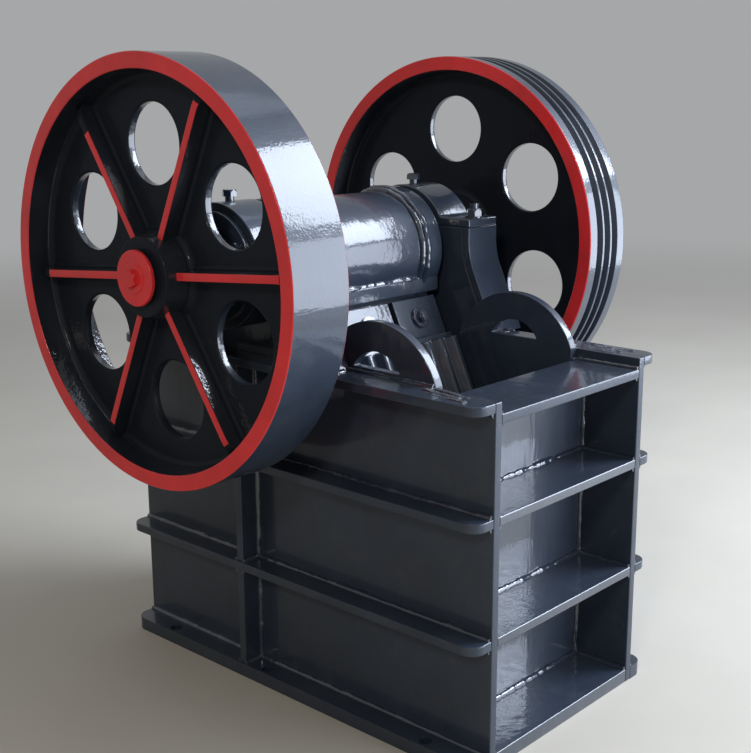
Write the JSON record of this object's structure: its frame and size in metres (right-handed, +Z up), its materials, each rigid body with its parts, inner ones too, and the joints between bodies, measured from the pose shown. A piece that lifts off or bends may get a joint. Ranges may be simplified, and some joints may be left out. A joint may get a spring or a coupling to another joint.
{
  "type": "jaw crusher",
  "caption": "Stone crusher with a welded plate frame, a swing jaw hung on an eccentric shaft, a spoked flywheel and a grooved belt pulley.",
  "frame": {"origin": "centre of the four corner anchor holes, on the underside of the base flanges", "axes": "+X along the shaft from the flywheel to the belt pulley, -Y towards the feed end, +Z up"},
  "size_m": [1.058, 1.015, 1.27],
  "materials": {
    "dark_enamel": "gloss",
    "red_paint": "gloss",
    "bare_steel": "satin",
    "cast_steel": "rough"
  },
  "bodies": {
    "frame": {"side_plate_left": "dark_enamel", "side_plate_right": "dark_enamel", "base_flanges": "dark_enamel", "side_ribs_left": "dark_enamel", "side_ribs_right": "dark_enamel", "top_flanges": "dark_enamel", "posts": "dark_enamel", "front_shelves": "dark_enamel", "front_top_plate": "dark_enamel", "front_wall": "dark_enamel", "rear_shelves": "dark_enamel", "rear_top_plate": "dark_enamel", "rear_wall": "dark_enamel", "pedestal_flanges_left": "dark_enamel", "pedestal_flanges_right": "dark_enamel", "bearing_block_left": "dark_enamel", "bearing_block_right": "dark_enamel", "bearing_cap_left": "dark_enamel", "bearing_cap_right": "dark_enamel", "bearings": "bare_steel", "bearing_covers": "dark_enamel", "cheek_plate_left": "dark_enamel", "cheek_plate_right": "dark_enamel", "fixed_jaw_plate": "dark_enamel", "toggle_plate": "cast_steel", "toggle_seat": "dark_enamel", "tension_rod": "bare_steel", "tension_spring": "bare_steel"},
    "rotor": {"shaft": "bare_steel", "flywheel_rim": "dark_enamel", "flywheel_web": "dark_enamel", "pulley_rim": "dark_enamel", "pulley_web": "dark_enamel", "wheel_hubs": "dark_enamel", "wheel_ribs": "dark_enamel", "shaft_end_discs": "red_paint"},
    "swing_jaw": {"pitman_barrel": "dark_enamel", "pitman_lip": "dark_enamel", "pitman_plate": "dark_enamel", "pitman_stays": "dark_enamel", "toggle_block": "dark_enamel", "rod_hook": "dark_enamel", "swing_jaw_plate": "dark_enamel", "wedge_plates": "dark_enamel"}
  },
  "joints": [
    {"name": "shaft_spin", "type": "hinge", "parent": "frame", "child": "rotor", "pos_m": [0, 0.125, 0.87], "axis": [1, 0, 0], "continuous": true},
    {"name": "jaw_swing", "type": "hinge", "parent": "rotor", "child": "swing_jaw", "pos_m": [0, 0.125, 0.86], "axis": [1, 0, 0], "continuous": true}
  ],
  "couplings": [
    {"joint": "jaw_swing", "follows": "shaft_spin", "ratio": -1}
  ]
}
